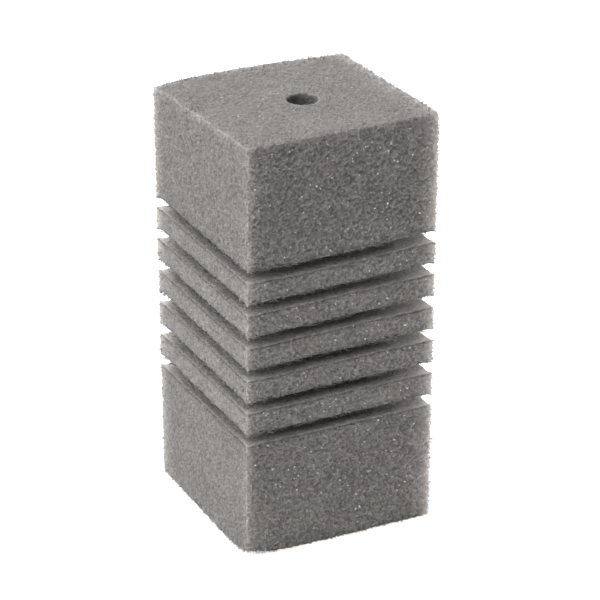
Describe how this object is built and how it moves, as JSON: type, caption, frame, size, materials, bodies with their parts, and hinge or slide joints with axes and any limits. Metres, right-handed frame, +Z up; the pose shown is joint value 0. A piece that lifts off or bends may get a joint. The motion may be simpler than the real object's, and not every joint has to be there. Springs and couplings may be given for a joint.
{
  "type": "sponge filter",
  "caption": "Upright square block of open-cell filter foam with narrow slots round its middle and a blind bore in the top for a suction tube.",
  "frame": {"origin": "centre of the square base, on the surface that the block stands on", "axes": "+Z up along the bore, which is the block's long axis; X and Y square to the sides"},
  "size_m": [0.1, 0.1, 0.21],
  "materials": {
    "foam": "matte"
  },
  "bodies": {
    "foot": {"bottom_block": "foam"},
    "slot_1": {"neck_1": "foam"},
    "plate_1": {"fin_1": "foam"},
    "slot_2": {"neck_2": "foam"},
    "plate_2": {"fin_2": "foam"},
    "slot_3": {"neck_3": "foam"},
    "plate_3": {"fin_3": "foam"},
    "slot_4": {"neck_4": "foam"},
    "plate_4": {"fin_4": "foam"},
    "slot_5": {"neck_5": "foam"},
    "plate_5": {"fin_5": "foam"},
    "slot_6": {"neck_6": "foam"},
    "head": {"top_block": "foam"}
  },
  "joints": [
    {"name": "bend_1", "type": "hinge", "parent": "foot", "child": "slot_1", "pos_m": [0, 0, 0.0625], "axis": [1, 0, 0], "range_deg": [-3, 3], "stiffness_Nm_per_rad": 2.5},
    {"name": "squeeze_1", "type": "slide", "parent": "slot_1", "child": "plate_1", "axis": [0, 0, -1], "range_m": [0, 0.002], "stiffness_N_per_m": 5000, "deforming": ["neck_1"]},
    {"name": "bend_2", "type": "hinge", "parent": "plate_1", "child": "slot_2", "pos_m": [0, 0, 0.0795], "axis": [1, 0, 0], "range_deg": [-3, 3], "stiffness_Nm_per_rad": 2.5},
    {"name": "squeeze_2", "type": "slide", "parent": "slot_2", "child": "plate_2", "axis": [0, 0, -1], "range_m": [0, 0.002], "stiffness_N_per_m": 5000, "deforming": ["neck_2"]},
    {"name": "bend_3", "type": "hinge", "parent": "plate_2", "child": "slot_3", "pos_m": [0, 0, 0.0965], "axis": [1, 0, 0], "range_deg": [-3, 3], "stiffness_Nm_per_rad": 2.5},
    {"name": "squeeze_3", "type": "slide", "parent": "slot_3", "child": "plate_3", "axis": [0, 0, -1], "range_m": [0, 0.002], "stiffness_N_per_m": 5000, "deforming": ["neck_3"]},
    {"name": "bend_4", "type": "hinge", "parent": "plate_3", "child": "slot_4", "pos_m": [0, 0, 0.1135], "axis": [1, 0, 0], "range_deg": [-3, 3], "stiffness_Nm_per_rad": 2.5},
    {"name": "squeeze_4", "type": "slide", "parent": "slot_4", "child": "plate_4", "axis": [0, 0, -1], "range_m": [0, 0.002], "stiffness_N_per_m": 5000, "deforming": ["neck_4"]},
    {"name": "bend_5", "type": "hinge", "parent": "plate_4", "child": "slot_5", "pos_m": [0, 0, 0.1305], "axis": [1, 0, 0], "range_deg": [-3, 3], "stiffness_Nm_per_rad": 2.5},
    {"name": "squeeze_5", "type": "slide", "parent": "slot_5", "child": "plate_5", "axis": [0, 0, -1], "range_m": [0, 0.002], "stiffness_N_per_m": 5000, "deforming": ["neck_5"]},
    {"name": "bend_6", "type": "hinge", "parent": "plate_5", "child": "slot_6", "pos_m": [0, 0, 0.1475], "axis": [1, 0, 0], "range_deg": [-3, 3], "stiffness_Nm_per_rad": 2.5},
    {"name": "squeeze_6", "type": "slide", "parent": "slot_6", "child": "head", "axis": [0, 0, -1], "range_m": [0, 0.002], "stiffness_N_per_m": 5000, "deforming": ["neck_6"]}
  ],
  "couplings": [
    {"joint": "bend_2", "follows": "bend_1", "ratio": 1},
    {"joint": "squeeze_2", "follows": "squeeze_1", "ratio": 1},
    {"joint": "bend_3", "follows": "bend_1", "ratio": 1},
    {"joint": "squeeze_3", "follows": "squeeze_1", "ratio": 1},
    {"joint": "bend_4", "follows": "bend_1", "ratio": 1},
    {"joint": "squeeze_4", "follows": "squeeze_1", "ratio": 1},
    {"joint": "bend_5", "follows": "bend_1", "ratio": 1},
    {"joint": "squeeze_5", "follows": "squeeze_1", "ratio": 1},
    {"joint": "bend_6", "follows": "bend_1", "ratio": 1},
    {"joint": "squeeze_6", "follows": "squeeze_1", "ratio": 1}
  ]
}
